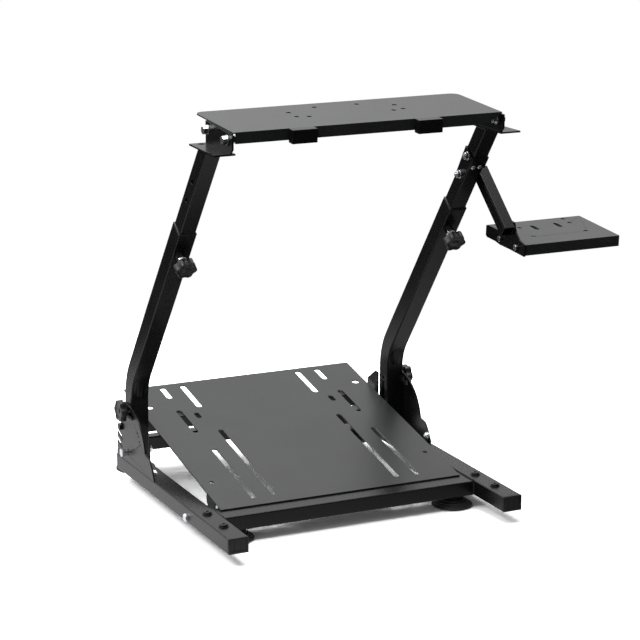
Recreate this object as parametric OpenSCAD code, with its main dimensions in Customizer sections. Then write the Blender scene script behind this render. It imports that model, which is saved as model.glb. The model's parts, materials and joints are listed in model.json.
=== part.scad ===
// Folding racing wheel stand: base with tilting pedal plate, leaning bent uprights with
// telescoping tubes, tilting wheel plate and a shifter plate on an arm at the right.
// +X is the driver's right, +Y points away from the driver, +Z is up. The floor is Z = 0.

/* [Base] */
// overall width across the two rails
base_w = 574; // [500:1:640]
// width of a rail tube
rail_w = 38; // [35:1:45]
// height of a rail tube
rail_h = 29; // [25:1:45]
// length of a rail with its caps
rail_len = 546; // [450:2:650]
// wall of the rails and cross tubes
tube_wall = 2; // [1.5:0.1:3]
// depth of the front cross tube
front_bar_d = 58; // [40:1:70]
// height of the front cross tube
front_bar_h = 27.5; // [20:0.5:29]
// front face of the front cross tube, behind the rail fronts
front_bar_y = 110; // [60:1:160]
// height of a foot under the base
foot_h = 23; // [15:1:35]
// radius of a foot at the floor
foot_r = 38; // [25:1:45]
// distance of a front foot's middle from the rail
foot_in = 30; // [15:1:60]

/* [Pivot brackets] */
// height of the fold pivot above the rail bottom
pivot_h = 48; // [40:1:60]
// distance of the fold pivot from the rail fronts
pivot_y = 486; // [440:1:520]
// radius of the bracket head
bracket_r = 94; // [92:1:105]
// radius of the curved lock slot
lock_slot_r = 82; // [78:1:82]
// thickness of the bracket plates
plate_t = 3; // [2:0.5:4]

/* [Uprights] */
// wall of the square sleeve tubes
sleeve_wall = 1.75; // [1.5:0.05:2.5]
// lean of the uprights towards the driver
lean = 36.9; // [30:0.1:45]
// height of the bend above the rail bottom
bend_h = 184; // [150:1:220]
// centre-line radius of the bend
bend_r = 110; // [80:1:140]
// length of the sleeve above the bend corner
sleeve_len = 426; // [350:1:480]

/* [Wheel plate] */
// depth of the wheel plate
wheel_d = 171; // [140:1:240]
// height of the front edge above the rail bottom
wheel_h = 721.5; // [650:0.5:760]
// front edge behind the rail fronts
wheel_y = 40.5; // [0:0.5:80]
// tilt of the wheel plate, rear up
wheel_tilt = 3.1; // [0:0.1:10]
// height of the folded flanges
wheel_flange = 20; // [12:1:30]
// sheet thickness of the wheel plate
wheel_t = 2.5; // [2:0.1:4]

/* [Pedal plate] */
// space between the pedal plate and a rail
pedal_side = 10; // [8:0.5:30]
// length of the pedal plate
pedal_len = 492; // [485:1:520]
// front edge behind the rail fronts
pedal_y = 147; // [130:1:160]
// tilt of the pedal plate, rear up
pedal_tilt = 11.4; // [6:0.1:16]
// sheet thickness of the pedal plate
pedal_t = 2.5; // [2:0.1:4]
// distance of the tilt bolts from the rail fronts
pedal_pivot_y = 190; // [180:1:210]
// height of the tilt bolts above the rail bottom
pedal_pivot_h = 10; // [8:1:16]

/* [Shifter plate] */
// width of the shifter plate
shifter_w = 198; // [150:1:220]
// depth of the shifter plate
shifter_d = 142; // [120:1:170]
// tilt of the shifter plate, rear up
shifter_tilt = 4.1; // [0:0.1:10]
// side of the square arm tube
arm_w = 23; // [18:1:26]
// angle of the arm below level
arm_fall = 41.1; // [30:0.1:50]
// length of the arm tube
arm_len = 143; // [110:1:180]

/* [Hidden] */
$fn = 48;
hole_sides = 24;
black = [0.06, 0.06, 0.065];
plate_black = [0.10, 0.10, 0.105];
plastic = [0.04, 0.04, 0.04];
zinc = [0.75, 0.76, 0.78];
rubber = [0.03, 0.03, 0.03];
left = -1;
right = 1;
half = 0.5;
twice = 2;
eps = 0.5;
gap = 0.3;
side_gap = 0.5;
square_turn = 90;
half_turn = 180;
big = 900;
hex_sides = 6;

rail_x = base_w * half - rail_w * half;
rail_in = base_w * half - rail_w;
foot_x = rail_in - foot_in;
pedal_w = (rail_in - pedal_side) * twice;
cap_t = 3;
cap_plug = 18;
corner_r = 2.5;
z0 = foot_h;
rail_top = z0 + rail_h;
pivot_z = z0 + pivot_h;
pedal_pivot_z = z0 + pedal_pivot_h;
bracket_out = base_w * half;
inner_plate_x = rail_in - plate_t;

// the sleeves
sleeve_w = rail_w - plate_t - side_gap * twice;
sleeve_x = (rail_in + base_w * half - plate_t) * half;
sleeve_in = sleeve_w - sleeve_wall * twice;
upper_gap = 0.25;
upper_w = sleeve_in - upper_gap * twice;
bend_tan = bend_r * tan(lean * half);
sleeve_foot = 38;
bend_steps = 14;
upper_hidden = 150;
upper_wall = 1.8;
head_drop = 38.5;
head_top_drop = 4.5;
head_lip = 9;
wheel_in = 12;
wheel_w = (sleeve_x - wheel_in) * twice;
head_z = z0 + wheel_h - head_drop;
foot_plate_t = 3;
head_plate_t = 3;
head_y0 = 38;
head_y1 = 162;
head_side_y0 = 37;
head_side_y1 = 152;
head_side_rise = 8.5;
head_side_nose = 10;
head_x_in = wheel_w * half + side_gap;
head_x_mid = sleeve_x - upper_w * half;
head_x_out = sleeve_x + upper_w * half + head_lip;
head_taper = 6;
head_top = z0 + wheel_h - head_top_drop;

// bolts
bolt_r = 4;
bolt_head_r = 7.5;
bolt_head_t = 5;
nut_r = 7;
nut_t = 6;
washer_r = 9;
washer_t = 1.6;
pivot_bolt_r = 5;
pivot_head_r = 8.5;
pivot_boss_t = 8;
pivot_boss_r = 7;
tilt_head_t = 8;

// knobs
lock_knob_r = 21;
lock_knob_t = 12;
knob_lobes = 6;
knob_lobe_share = 0.3;
knob_body_share = 0.8;
knob_hub_r = 9;
knob_hub_t = 5;
lock_stud_r = 3;
lock_stud_len = 16;
lock_slot_w = 12;
knob_reach = bracket_out + knob_hub_t + lock_knob_t + side_gap;
height_knob_r = 20;
height_knob_t = 15;
height_hub_t = 8;
height_stud_r = 4;
height_knob_s = 58;
boss_r = 7;
boss_t = 9;

// the pivot brackets: points are [behind, above] the fold pivot
bracket_toe_y = -136;
bracket_toe = [[-125, 1], [-113, 16]];
bracket_heel_h = 20;
bracket_cut = 21;
bracket_rear = [[21, 61], [54, 30], [54, -6], [57, -12]];
inner_toe_y = -14;
inner_outline = [[-14, 12], [18, 46], [18, 89], [30, 89], [64, 67], [64, 26], [126, 4], [140, -20]];
inner_rise = 4;
notch_mouth_y = 74;
notches = [[30, 3, 21], [28, 19, 39]];
slot_start = 84;
slot_end = 112;
slot_steps = 12;
// small pin holes on one radius, at these angles
pin_hole_r = 1.8;
pin_circle_r = 75;
pin_angles = [137, 142, 150, 154.5];
end_steps = 10;
head_steps = 28;

// the pedal plate's support
support_d = 28;
support_h = 26;
cross_y = pivot_y + 66;
cross_d = 25;
cross_h = 27;
cross_z = z0 + 23;
tail_front = 88;
tail_back = 140;
tail_step = 12;
tail_tab_w = 38;
rear_foot_in = 19;
rear_foot_x = rail_in - rear_foot_in;
rear_foot_y = pivot_y + 110;
pedal_ear = [[-15, 24.5], [24, 32.3], [24, 20], [11, -10], [-11, -10]];
notch_bolt_y = pivot_y + 33;
support_drop = pedal_t + support_h * half;
support_s = (notch_bolt_y - pedal_y - support_drop * sin(pedal_tilt)) / cos(pedal_tilt);
notch_bolt_z = z0 + front_bar_h + pedal_t + support_s * sin(pedal_tilt)
  - support_drop * cos(pedal_tilt);
notch_w = 7;

// the wheel plate
stop_w = 46;
stop_reach = 16.5;
stop_h = 24;
stop_x_left = -153;
stop_x_right = 84;
wheel_corner = 16;
tilt_pivot_s = 101;
tilt_front_s = 17;
tilt_bolt_drop = 16;
flange_in = 5;
flange_cut = 31.5;
flange_cut_h = 6;
tilt_slot_w = 9;
tilt_up = 3;
tilt_down = 4;
wheel_ear_r = 10;

// the shifter
shifter_y0 = 49.5;
shifter_h = 476.7;
shifter_t = 2.5;
shifter_skirt = 20;
arm_top_y = 191;
arm_top_h = 590;
clamp_t = 2;
arm_x0 = sleeve_x + upper_w * half + clamp_t;
shifter_x0 = arm_x0 + arm_w + plate_t + side_gap;
tray_bolt_r = 3;
tray_head_r = 5.8;
tray_back_s = 79;
tray_front_s = 20;
tray_drop = 9;
tray_bolt_cut = 10;
tray_swing = 5;
// the bracket's outline, [behind, above] the plate's front top edge
tray_bracket = [[-4.5, -20], [-6.5, 1.7], [13.9, 7.2], [27, 19.2], [33, 35.3], [55.5, 37.7],
  [92.4, 11.1], [127.9, 12.7], [132.5, 8.7], [133.3, 4.2], [132.8, -10], [100.9, -11.8],
  [82.2, -15.1], [45.5, -16.5]];
clamp_len = 68;
clamp_mid_h = 606;
clamp_d = (clamp_mid_h - bend_h) / cos(lean);
clamp_bolt_gap = 48;
clamp_gap = 0.2;

// hole tables: [x, distance from the front edge]
wheel_holes = [[-102, 115], [-102, 81], [102, 115], [102, 81], [-81, 75], [81, 75],
  [-41, 141], [41, 141]];
wheel_hole_r = 4.5;
// slots across the pedal plate's halves: [x, start, end, radius]
pedal_slots = [[165, 433, 480, 6], [123, 385, 480, 6], [170, 287, 381, 5.5],
  [123, 25, 287, 5.3], [164, 23, 218, 5.3], [141, 341, 364, 5]];
pedal_holes = [[217, 99, 4.75], [218, 407, 7]];
shifter_holes = [[50, 106], [46, 47], [156, 107], [156, 49], [158, 133]];
shifter_slots = [[77, 88, 107], [127, 90, 109]];
shifter_hole_r = 4;
upper_holes = [74, 120];

// middle of the whole stand, so that the origin lies under the middle of its box
y_high = rear_foot_y + foot_r;
model_x = (shifter_x0 + shifter_w - knob_reach) * half;
model_y = y_high * half;

// shared shapes

module placed() {
  translate([-model_x, -model_y, 0]) children();
}

module rounded_square(a, b, r) {
  translate([-a * half + r, -b * half]) square([a - r * twice, b]);
  translate([-a * half, -b * half + r]) square([a, b - r * twice]);
  for (sx = [left, right], sy = [left, right]) {
    translate([sx * (a * half - r), sy * (b * half - r)]) circle(r = r, $fn = hole_sides);
  }
}

module tube_profile(a, b, wall) {
  difference() {
    rounded_square(a, b, corner_r);
    square([a - wall * twice, b - wall * twice], center = true);
  }
}

// a bar along +Y from y0, its section centred on x, z
module along_y(x, y0, z, len) {
  translate([x, y0, z]) rotate([-square_turn, 0, 0]) linear_extrude(len) children();
}

// a bar along +X from x0, its section centred on y, z
module along_x(x0, y, z, len) {
  translate([x0, y, z]) rotate([square_turn, 0, square_turn]) linear_extrude(len) children();
}

// a plate in the Y-Z plane, from x0 and t thick
module side_plate(x0, t) {
  translate([x0, 0, 0]) rotate([square_turn, 0, square_turn]) linear_extrude(t) children();
}

module x_rod(x0, y, z, r, len) {
  translate([x0, y, z]) rotate([0, square_turn, 0]) cylinder(r = r, h = len);
}

module x_hex(x0, y, z, r, len) {
  translate([x0, y, z]) rotate([0, square_turn, 0]) cylinder(r = r, h = len, $fn = hex_sides);
}

// a bolt along X with head, spacer and nut: its head, head_t thick, at the outside of side s
module cross_bolt(s, y, z, x_in, x_out, r, head, head_t, spacer_r, spacer_t) {
  len = x_out - x_in;
  mirror([s < 0 ? 1 : 0, 0, 0]) {
    x_rod(x_in - nut_t - washer_t, y, z, r, len + nut_t + washer_t + spacer_t);
    x_rod(x_out, y, z, spacer_r, spacer_t);
    x_hex(x_out + spacer_t, y, z, head, head_t);
    x_rod(x_in - washer_t, y, z, washer_r, washer_t);
    x_hex(x_in - washer_t - nut_t, y, z, nut_r, nut_t);
  }
}

// a lobed knob with its hub below and its face up, stud along -Z
module lobed_knob(r, t, hub_r, hub_t, stud_r, stud_len) {
  cylinder(r = hub_r, h = hub_t + eps);
  translate([0, 0, hub_t]) {
    cylinder(r = r * knob_body_share, h = t);
    for (i = [1 : knob_lobes]) {
      rotate([0, 0, i * half_turn * twice / knob_lobes])
        translate([r * (1 - knob_lobe_share), 0, 0]) cylinder(r = r * knob_lobe_share, h = t);
    }
  }
  translate([0, 0, -stud_len]) cylinder(r = stud_r, h = stud_len + eps);
}

// base

module rail(s) {
  color(black) placed() difference() {
    along_y(s * rail_x, cap_t, z0 + rail_h * half, rail_len - cap_t * twice)
      tube_profile(rail_w, rail_h, tube_wall);
    x_rod(-big, pedal_pivot_y, pedal_pivot_z, bolt_r + gap, big * twice);
  }
}

module rail_cap(s, y, dir) {
  plug_w = rail_w - tube_wall * twice - gap;
  plug_h = rail_h - tube_wall * twice - gap;
  color(plastic) placed() {
    along_y(s * rail_x, y, z0 + rail_h * half, cap_t) rounded_square(rail_w, rail_h, corner_r);
    plug_y = dir > 0 ? y + cap_t : y - cap_plug;
    along_y(s * rail_x, plug_y, z0 + rail_h * half, cap_plug)
      rounded_square(plug_w, plug_h, corner_r);
  }
}

module front_cross_tube() {
  color(black) placed()
    along_x(-rail_in, front_bar_y + front_bar_d * half, z0 + front_bar_h * half, rail_in * twice)
      tube_profile(front_bar_d, front_bar_h, tube_wall);
}

module rear_cross_tube() {
  color(black) placed()
    along_x(-inner_plate_x, cross_y + cross_d * half, cross_z + cross_h * half,
      inner_plate_x * twice) tube_profile(cross_d, cross_h, tube_wall);
}

module foot(x, y) {
  collar_r = 12;
  collar_h = 5;
  rim_h = 3;
  cone_h = 14;
  neck_r = 15;
  color(rubber) placed() translate([x, y, 0]) {
    cylinder(r = foot_r, h = rim_h);
    translate([0, 0, rim_h]) cylinder(r1 = foot_r - rim_h, r2 = neck_r, h = cone_h);
    translate([0, 0, rim_h + cone_h - eps]) cylinder(r = collar_r, h = foot_h - rim_h - cone_h + eps);
  }
}

// pivot brackets

// points of an arc about c, without the first and last skip of them
function arc(c, r, a0, a1, n, skip) =
  [for (i = [skip : n - skip]) c + r * [cos(a0 + (a1 - a0) * i / n), sin(a0 + (a1 - a0) * i / n)]];

function slot_outline(r, w, a0, a1, n, m) = concat(
  arc([0, 0], r + w * half, a0, a1, n, 0),
  arc(r * [cos(a1), sin(a1)], w * half, a1, a1 + half_turn, m, 1),
  arc([0, 0], r - w * half, a1, a0, n, 0),
  arc(r * [cos(a0), sin(a0)], w * half, a0 + half_turn, a0 + half_turn * twice, m, 1));

module lock_slot() {
  side_plate(-big, big * twice) translate([pivot_y, pivot_z])
    polygon(slot_outline(lock_slot_r, lock_slot_w, slot_start, slot_end, slot_steps, end_steps));
}

// a slanted notch, open at the rear edge: [y and height of its end, height at its mouth]
module notch(q) {
  side_plate(-big, big * twice) translate([pivot_y, pivot_z]) {
    translate([q[0], q[1]]) circle(d = notch_w, $fn = hole_sides);
    polygon([[q[0], q[1] - notch_w * half], [notch_mouth_y, q[2] - notch_w * half],
      [notch_mouth_y, q[2] + notch_w * half], [q[0], q[1] + notch_w * half]]);
  }
}

// points given from a centre [y, z], moved to it
function about(y, z, points) = [for (q = points) q + [y, z]];

module pivot_plate_outer(s) {
  x0 = s < 0 ? -bracket_out : bracket_out - plate_t;
  head_front = half_turn - asin(bracket_heel_h / bracket_r);
  head_back = acos(bracket_cut / bracket_r);
  color(black) placed() difference() {
    side_plate(x0, plate_t) polygon(concat([[pivot_y + bracket_toe_y, rail_top]],
      about(pivot_y, pivot_z, bracket_toe),
      arc([pivot_y, pivot_z], bracket_r, head_front, head_back, head_steps, 0),
      about(pivot_y, pivot_z, bracket_rear), [[rail_len - cap_t, rail_top]]));
    lock_slot();
    for (q = notches) notch(q);
    for (a = pin_angles) {
      x_rod(-big, pivot_y + pin_circle_r * cos(a), pivot_z + pin_circle_r * sin(a), pin_hole_r,
        big * twice);
    }
    x_rod(-big, notch_bolt_y, notch_bolt_z, bolt_r + gap, big * twice);
    x_rod(-big, pivot_y, pivot_z, pivot_bolt_r + gap, big * twice);
  }
}

module pivot_plate_inner(s) {
  x0 = s < 0 ? -rail_in : inner_plate_x;
  tab_x = s < 0 ? -rail_in : rail_in - tail_tab_w;
  tab_y = pivot_y + tail_front;
  color(black) placed() difference() {
    union() {
      side_plate(x0, plate_t) polygon(concat([[pivot_y + inner_toe_y, z0 + inner_rise]],
        about(pivot_y, pivot_z, inner_outline), [[pivot_y + tail_back, z0], [tab_y, z0],
        [tab_y - tail_step, z0 + inner_rise]]));
      translate([tab_x, tab_y, z0]) cube([tail_tab_w, tail_back - tail_front, plate_t]);
    }
    x_rod(-big, pivot_y, pivot_z, pivot_bolt_r + gap, big * twice);
  }
}

module pivot_bolt(s) {
  color(zinc) placed() cross_bolt(s, pivot_y, pivot_z, inner_plate_x, bracket_out, pivot_bolt_r,
    pivot_head_r, bolt_head_t, pivot_boss_r, pivot_boss_t);
}

module notch_bolt(s) {
  color(zinc) placed() mirror([s < 0 ? 1 : 0, 0, 0]) {
    x_rod(bracket_out - plate_t - nut_t, notch_bolt_y, notch_bolt_z, bolt_r, plate_t + nut_t + eps);
    x_hex(bracket_out, notch_bolt_y, notch_bolt_z, bolt_head_r, bolt_head_t);
    x_hex(bracket_out - plate_t - nut_t, notch_bolt_y, notch_bolt_z, nut_r, nut_t);
  }
}

// uprights

// one long edge of the bent tube, o behind its axis: up the vertical part, round the bend
// and up the lean
function bent_edge(o, low, high) = concat([[pivot_y + o, z0 + low]],
  [for (i = [0 : bend_steps]) [pivot_y - bend_r + (bend_r + o) * cos(lean * i / bend_steps),
    z0 + bend_h - bend_tan + (bend_r + o) * sin(lean * i / bend_steps)]],
  [[pivot_y + o * cos(lean) - high * sin(lean), z0 + bend_h + o * sin(lean) + high * cos(lean)]]);

function reversed(v) = [for (i = [len(v) - 1 : -1 : 0]) v[i]];

module bent_bar(s, w, low, high) {
  side_plate(s * sleeve_x - w * half, w)
    polygon(concat(bent_edge(w * half, low, high), reversed(bent_edge(-w * half, low, high))));
}

// puts children on the tube axis of side s, Z along the axis, at distance d from the bend corner
module on_axis(s, d) {
  translate([s * sleeve_x, pivot_y, z0 + bend_h]) rotate([lean, 0, 0]) translate([0, 0, d])
    children();
}

module sleeve(s) {
  color(black) placed() difference() {
    union() {
      difference() {
        bent_bar(s, sleeve_w, sleeve_foot, sleeve_len);
        bent_bar(s, sleeve_in, sleeve_foot - eps, sleeve_len + eps);
      }
      on_axis(s, sleeve_len - height_knob_s)
        translate([0, -sleeve_w * half + eps, 0]) rotate([square_turn, 0, 0])
          cylinder(r = boss_r, h = boss_t + eps);
    }
    x_rod(-big, pivot_y, pivot_z, pivot_bolt_r + gap, big * twice);
    on_axis(s, sleeve_len - height_knob_s) rotate([square_turn, 0, 0])
      cylinder(r = height_stud_r + gap, h = sleeve_w * twice);
    x_rod(s < 0 ? -big : 0, pivot_y, pivot_z + lock_slot_r, lock_stud_r + gap, big);
  }
}

module fold_knob(s) {
  color(plastic) placed()
    translate([s * (bracket_out + side_gap), pivot_y, pivot_z + lock_slot_r])
      rotate([0, s * square_turn, 0])
        lobed_knob(lock_knob_r, lock_knob_t, knob_hub_r, knob_hub_t, lock_stud_r, lock_stud_len);
}

module height_knob(s) {
  face = sleeve_w * half + boss_t + side_gap;
  color(plastic) placed() on_axis(s, sleeve_len - height_knob_s)
    rotate([square_turn, 0, 0]) translate([0, 0, face])
      lobed_knob(height_knob_r, height_knob_t, knob_hub_r, height_hub_t, height_stud_r,
        boss_t + side_gap + sleeve_wall - gap);
}

module upper_tube(s) {
  color(black) placed() difference() {
    on_axis(s, sleeve_len - upper_hidden) linear_extrude(big * half)
      tube_profile(upper_w, upper_w, upper_wall);
    translate([-big, -big, head_z]) cube(big * twice);
    for (d = upper_holes) {
      on_axis(s, sleeve_len + d) rotate([0, square_turn, 0])
        cylinder(r = bolt_r, h = big, center = true, $fn = hole_sides);
    }
  }
}

module head_bracket(s) {
  hole_y = 150;
  hole_r = 6;
  color(black) placed() mirror([s < 0 ? 1 : 0, 0, 0]) difference() {
    union() {
      translate([0, 0, head_z]) linear_extrude(foot_plate_t)
        polygon([[head_x_mid, head_y0], [head_x_out, head_y0], [head_x_out - head_taper, head_y1],
          [head_x_mid, head_y1]]);
      side_plate(head_x_in, head_plate_t) polygon([[head_side_y0 + head_side_nose, head_z + eps],
        [head_side_y0, head_z + head_side_nose], [head_side_y0, head_top],
        [head_side_y1, head_top + head_side_rise], [head_side_y1, head_z + eps]]);
    }
    translate([sleeve_x, hole_y, 0]) cylinder(r = hole_r, h = big);
    wheel_pivot() cylinder(r = bolt_r + gap, h = big, center = true);
    tilt_slot();
  }
}

// wheel plate

module on_wheel() {
  translate([0, wheel_y, z0 + wheel_h]) rotate([wheel_tilt, 0, 0]) children();
}

// the bolt axis that the wheel plate tilts on, along X
module wheel_pivot() {
  on_wheel() translate([0, tilt_pivot_s, -tilt_bolt_drop]) rotate([0, square_turn, 0]) children();
}

module tilt_slot() {
  reach = tilt_pivot_s - tilt_front_s;
  on_wheel() translate([0, tilt_pivot_s, -tilt_bolt_drop])
    for (a = [-tilt_up : tilt_down]) {
      rotate([a, 0, 0]) translate([0, -reach, 0]) rotate([0, square_turn, 0])
        cylinder(d = tilt_slot_w, h = big, center = true, $fn = hole_sides);
    }
}

module wheel_plate() {
  flange_y1 = tilt_pivot_s + wheel_ear_r;
  flange_x = wheel_w * half - flange_in;
  color(plate_black) placed() on_wheel() difference() {
    union() {
      translate([0, 0, -wheel_t]) linear_extrude(wheel_t) {
        translate([-wheel_w * half, 0]) square([wheel_w, wheel_d - wheel_corner]);
        translate([-wheel_w * half + wheel_corner, 0])
          square([wheel_w - wheel_corner * twice, wheel_d]);
        for (s = [left, right]) {
          translate([s * (wheel_w * half - wheel_corner), wheel_d - wheel_corner])
            circle(r = wheel_corner);
        }
      }
      translate([0, wheel_t, 0]) rotate([square_turn, 0, 0]) linear_extrude(wheel_t)
        polygon([[-flange_x, 0], [-flange_x, -wheel_flange],
          [wheel_w * half - flange_cut, -wheel_flange], [flange_x, -flange_cut_h], [flange_x, 0]]);
      for (x = [-wheel_w * half, wheel_w * half - wheel_t]) {
        translate([x, flange_in, -wheel_flange]) cube([wheel_t, flange_y1 - flange_in, wheel_flange]);
        for (y = [tilt_front_s, tilt_pivot_s]) {
          x_rod(x, y, -tilt_bolt_drop, wheel_ear_r, wheel_t);
        }
      }
    }
    for (p = wheel_holes) {
      translate([p[0], p[1], -wheel_flange]) cylinder(r = wheel_hole_r, h = big, $fn = hole_sides);
    }
    for (y = [tilt_front_s, tilt_pivot_s]) {
      translate([0, y, -tilt_bolt_drop]) rotate([0, square_turn, 0])
        cylinder(r = bolt_r + gap, h = big, center = true, $fn = hole_sides);
    }
  }
}

module stop_block(x0) {
  wall = 3;
  color(black) placed() on_wheel() difference() {
    translate([x0, -stop_reach, -stop_h]) cube([stop_w, stop_reach, stop_h]);
    translate([x0 + wall, -stop_reach + wall, -stop_h - eps])
      cube([stop_w - wall * twice, stop_reach, stop_h - wall + eps]);
  }
}

module tilt_bolts(s) {
  color(zinc) placed() on_wheel() for (y = [tilt_front_s, tilt_pivot_s]) {
    cross_bolt(s, y, -tilt_bolt_drop, wheel_w * half - wheel_t, head_x_in + head_plate_t,
      bolt_r, bolt_head_r, tilt_head_t, washer_r, washer_t);
  }
}

// pedal plate

module on_pedal() {
  translate([0, pedal_y, z0 + front_bar_h + pedal_t]) rotate([pedal_tilt, 0, 0]) children();
}

module pedal_plate() {
  color(plate_black) placed() difference() {
    union() {
      on_pedal() difference() {
        translate([-pedal_w * half, 0, -pedal_t]) cube([pedal_w, pedal_len, pedal_t]);
        for (s = [left, right], q = pedal_slots) {
          for (y = [q[1] + q[3], q[2] - q[3]]) {
            translate([s * q[0], y, -big * half]) cylinder(r = q[3], h = big, $fn = hole_sides);
          }
          translate([s * q[0] - q[3], q[1] + q[3], -big * half])
            cube([q[3] * twice, q[2] - q[1] - q[3] * twice, big]);
        }
        for (s = [left, right], q = pedal_holes) {
          translate([s * q[0], q[1], -big * half])
            cylinder(r = q[2], h = big, $fn = hole_sides);
        }
      }
      for (x = [-pedal_w * half, pedal_w * half - pedal_t]) {
        side_plate(x, pedal_t) polygon(about(pedal_pivot_y, pedal_pivot_z, pedal_ear));
      }
    }
    x_rod(-big, pedal_pivot_y, pedal_pivot_z, bolt_r + gap, big * twice);
  }
}

module pedal_support_tube() {
  color(black) placed() on_pedal() translate([0, 0, -support_drop])
    along_x(-pedal_w * half, support_s, 0, pedal_w)
      tube_profile(support_d, support_h, tube_wall);
}

module pedal_bolt(s) {
  color(zinc) placed() mirror([s < 0 ? 1 : 0, 0, 0]) {
    x_in = pedal_w * half - pedal_t;
    x_rod(x_in - nut_t, pedal_pivot_y, pedal_pivot_z, bolt_r,
      bracket_out - x_in + nut_t + eps);
    x_hex(bracket_out, pedal_pivot_y, pedal_pivot_z, bolt_head_r, bolt_head_t);
    x_hex(x_in - nut_t, pedal_pivot_y, pedal_pivot_z, nut_r, nut_t);
  }
}

// shifter

module shifter_clamp() {
  out = upper_w + clamp_t * twice;
  color(black) placed() {
    on_axis(right, clamp_d - clamp_len * half) linear_extrude(clamp_len) difference() {
      square([out, out], center = true);
      square([upper_w + clamp_gap, upper_w + clamp_gap], center = true);
    }
    on_axis(right, clamp_d) for (d = [-clamp_bolt_gap * half, clamp_bolt_gap * half]) {
      translate([-out * half - bolt_head_t, 0, d]) rotate([0, square_turn, 0])
        cylinder(r = bolt_head_r, h = bolt_head_t, $fn = hex_sides);
    }
  }
}

module shifter_arm() {
  color(black) placed() translate([arm_x0 + arm_w * half, arm_top_y, z0 + arm_top_h])
    rotate([square_turn + arm_fall, 0, 0]) linear_extrude(arm_len)
      tube_profile(arm_w, arm_w, tube_wall);
}

module on_shifter() {
  translate([shifter_x0, shifter_y0, z0 + shifter_h]) rotate([shifter_tilt, 0, 0]) children();
}

// the bolt axis at distance y from the plate's front edge, along X
module tray_bolt_at(y) {
  on_shifter() translate([0, y, -tray_drop]) rotate([0, square_turn, 0]) children();
}

module shifter_bracket() {
  x0 = arm_x0 + arm_w;
  reach = tray_back_s - tray_front_s;
  color(black) placed() difference() {
    side_plate(x0, plate_t) polygon(about(shifter_y0, z0 + shifter_h, tray_bracket));
    tray_bolt_at(tray_back_s) cylinder(r = tray_bolt_r + gap, h = big, center = true);
    on_shifter() translate([0, tray_back_s, -tray_drop]) for (a = [-tray_swing : tray_swing]) {
      rotate([a, 0, 0]) translate([0, -reach, 0]) rotate([0, square_turn, 0])
        cylinder(r = tray_bolt_r + gap, h = big, center = true, $fn = hole_sides);
    }
  }
}

module shifter_bolts() {
  x_in = shifter_x0 + shifter_t - arm_x0 - arm_w;
  color(zinc) placed() for (y = [tray_front_s, tray_back_s]) {
    translate([arm_x0 + arm_w - shifter_x0, 0, 0]) on_shifter() translate([0, y, -tray_drop]) {
      x_rod(-bolt_head_t, 0, 0, tray_bolt_r, bolt_head_t + x_in + nut_t);
      x_hex(-bolt_head_t, 0, 0, tray_head_r, bolt_head_t);
      x_hex(x_in, 0, 0, tray_head_r, nut_t);
    }
  }
}

module shifter_plate() {
  color(plate_black) placed() on_shifter() difference() {
    translate([0, 0, -shifter_skirt]) cube([shifter_w, shifter_d, shifter_skirt]);
    translate([shifter_t, shifter_t, -shifter_skirt - eps])
      cube([shifter_w - shifter_t * twice, shifter_d - shifter_t * twice,
        shifter_skirt - shifter_t + eps]);
    for (p = shifter_holes) {
      translate([p[0], p[1], -big * half]) cylinder(r = shifter_hole_r, h = big, $fn = hole_sides);
    }
    for (y = [tray_front_s, tray_back_s]) {
      translate([0, y, -tray_drop]) rotate([0, square_turn, 0])
        cylinder(r = tray_bolt_r, h = tray_bolt_cut, center = true, $fn = hole_sides);
    }
    for (q = shifter_slots) {
      for (y = [q[1], q[2]]) {
        translate([q[0], y, -big * half]) cylinder(r = shifter_hole_r, h = big, $fn = hole_sides);
      }
      translate([q[0] - shifter_hole_r, q[1], -big * half])
        cube([shifter_hole_r * twice, q[2] - q[1], big]);
    }
  }
}

rail(left);  // rail_left
rail(right);  // rail_right
rail_cap(left, 0, right);  // cap_front_left
rail_cap(right, 0, right);  // cap_front_right
rail_cap(left, rail_len - cap_t, left);  // cap_rear_left
rail_cap(right, rail_len - cap_t, left);  // cap_rear_right
front_cross_tube();
rear_cross_tube();
foot(-foot_x, front_bar_y + front_bar_d * half);  // foot_front_left
foot(foot_x, front_bar_y + front_bar_d * half);  // foot_front_right
foot(-rear_foot_x, rear_foot_y);  // foot_rear_left
foot(rear_foot_x, rear_foot_y);  // foot_rear_right
pivot_plate_outer(left);  // pivot_plate_outer_left
pivot_plate_outer(right);  // pivot_plate_outer_right
pivot_plate_inner(left);  // pivot_plate_inner_left
pivot_plate_inner(right);  // pivot_plate_inner_right
pivot_bolt(left);  // pivot_bolt_left
pivot_bolt(right);  // pivot_bolt_right
notch_bolt(left);  // notch_bolt_left
notch_bolt(right);  // notch_bolt_right
sleeve(left);  // sleeve_left
sleeve(right);  // sleeve_right
fold_knob(left);  // fold_knob_left
fold_knob(right);  // fold_knob_right
height_knob(left);  // height_knob_left
height_knob(right);  // height_knob_right
upper_tube(left);  // upper_tube_left
upper_tube(right);  // upper_tube_right
head_bracket(left);  // head_bracket_left
head_bracket(right);  // head_bracket_right
wheel_plate();
stop_block(stop_x_left);  // stop_block_left
stop_block(stop_x_right);  // stop_block_right
tilt_bolts(left);  // tilt_bolts_left
tilt_bolts(right);  // tilt_bolts_right
pedal_plate();
pedal_support_tube();
pedal_bolt(left);  // pedal_bolt_left
pedal_bolt(right);  // pedal_bolt_right
shifter_clamp();
shifter_arm();
shifter_bracket();
shifter_bolts();
shifter_plate();
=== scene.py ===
import json
import math

import bmesh
import bpy
from mathutils import Matrix, Vector


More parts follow.
